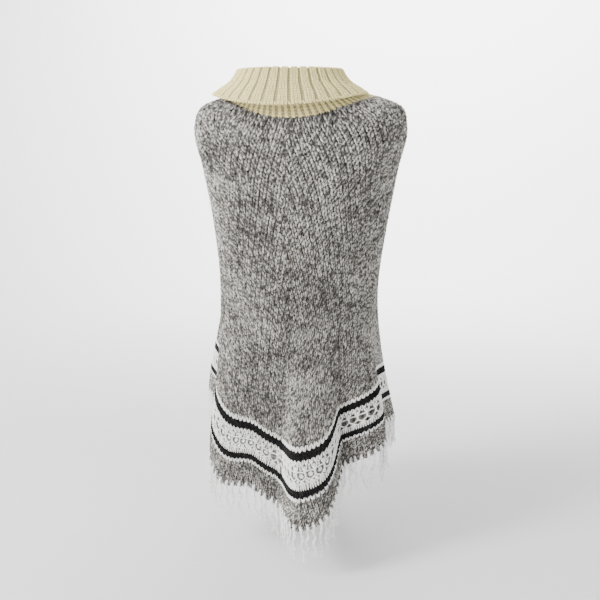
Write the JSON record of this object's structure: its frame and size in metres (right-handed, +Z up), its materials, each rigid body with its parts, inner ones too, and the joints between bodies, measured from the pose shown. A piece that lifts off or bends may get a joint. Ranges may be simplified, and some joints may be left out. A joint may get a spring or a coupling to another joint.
{
  "type": "knitted poncho sweater",
  "caption": "Hollow worn knit poncho with a rolled ribbed neck, dipping pointed hem, lace band between dark stripes, and a knotted fringe.",
  "frame": {"origin": "neck base of the garment, midway between the two highest points of the neck seam, where the wearer's shoulders carry it", "axes": "+Z up, front of the garment towards -Y, wearer's left side towards +X"},
  "size_m": [0.4376, 0.3732, 0.9638],
  "materials": {
    "grey_marl": "bulky stockinette in marled black and off-white yarn",
    "black_knit": "bulky black stockinette",
    "white_lace": "white openwork knit",
    "ivory_rib": "wide ribbing in ivory yarn",
    "fringe_yarn": "loose off-white strands"
  },
  "bodies": {
    "root": {"panel_front_left": "grey_marl", "upper_stripe_front_left": "black_knit", "openwork_front_left": "white_lace", "lower_stripe_front_left": "black_knit", "hem_border_front_left": "grey_marl", "fringe_front_left": "fringe_yarn", "panel_front_right": "grey_marl", "upper_stripe_front_right": "black_knit", "openwork_front_right": "white_lace", "lower_stripe_front_right": "black_knit", "hem_border_front_right": "grey_marl", "fringe_front_right": "fringe_yarn", "panel_back_left": "grey_marl", "upper_stripe_back_left": "black_knit", "openwork_back_left": "white_lace", "lower_stripe_back_left": "black_knit", "hem_border_back_left": "grey_marl", "fringe_back_left": "fringe_yarn", "panel_back_right": "grey_marl", "upper_stripe_back_right": "black_knit", "openwork_back_right": "white_lace", "lower_stripe_back_right": "black_knit", "hem_border_back_right": "grey_marl", "fringe_back_right": "fringe_yarn", "rolled_neck": "ivory_rib"}
  },
  "joints": []
}
